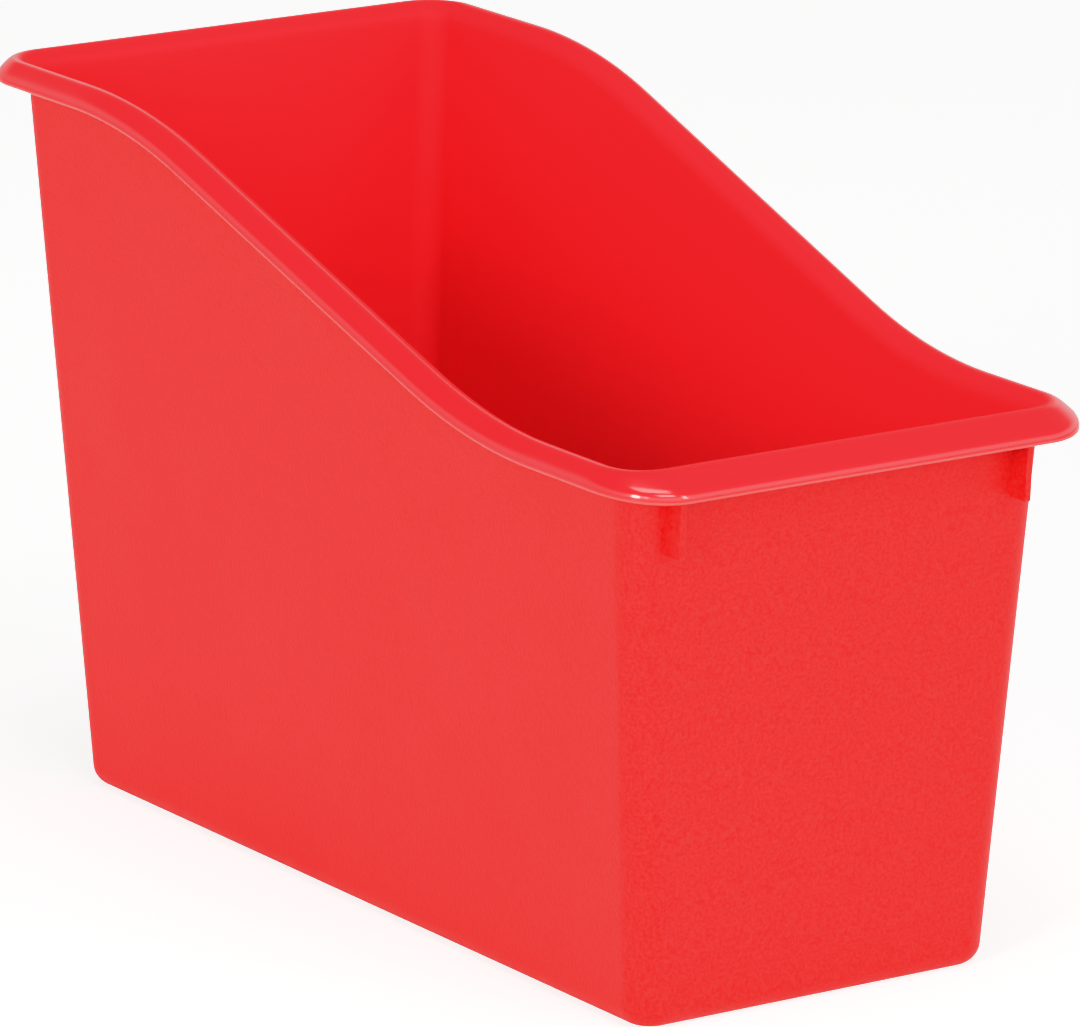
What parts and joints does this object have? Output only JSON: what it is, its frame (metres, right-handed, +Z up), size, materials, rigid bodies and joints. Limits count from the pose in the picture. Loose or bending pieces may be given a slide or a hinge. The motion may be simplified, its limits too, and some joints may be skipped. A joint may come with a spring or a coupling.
{
  "type": "slope-sided supply bin",
  "caption": "Open-topped supply bin with leaning walls and rounded corners; its rolled rim ramps from a tall rear down to a low front, so its contents are easy to see and reach.",
  "frame": {"origin": "the middle of the flat resting face, on the surface that the bin stands on", "axes": "+Z up; +Y along the bin towards its tall rear end; -Y towards its low front end; +X across the bin, to the right of someone facing the low front"},
  "size_m": [0.1438, 0.2903, 0.1905],
  "materials": {
    "moulded_plastic": "opaque red polypropylene: fine satin grain outside, smoother and glossier on the rim and inside"
  },
  "bodies": {
    "root": {"corner_front_left": "moulded_plastic", "corner_front_right": "moulded_plastic", "corner_rear_left": "moulded_plastic", "corner_rear_right": "moulded_plastic", "floor": "moulded_plastic", "rim_corner_front_left": "moulded_plastic", "rim_corner_front_right": "moulded_plastic", "rim_corner_rear_left": "moulded_plastic", "rim_corner_rear_right": "moulded_plastic", "rim_front": "moulded_plastic", "rim_left": "moulded_plastic", "rim_rear": "moulded_plastic", "rim_right": "moulded_plastic", "stacking_rib_front_left": "moulded_plastic", "stacking_rib_front_right": "moulded_plastic", "stacking_rib_rear_left": "moulded_plastic", "stacking_rib_rear_right": "moulded_plastic", "wall_front": "moulded_plastic", "wall_left": "moulded_plastic", "wall_rear": "moulded_plastic", "wall_right": "moulded_plastic"}
  },
  "joints": []
}
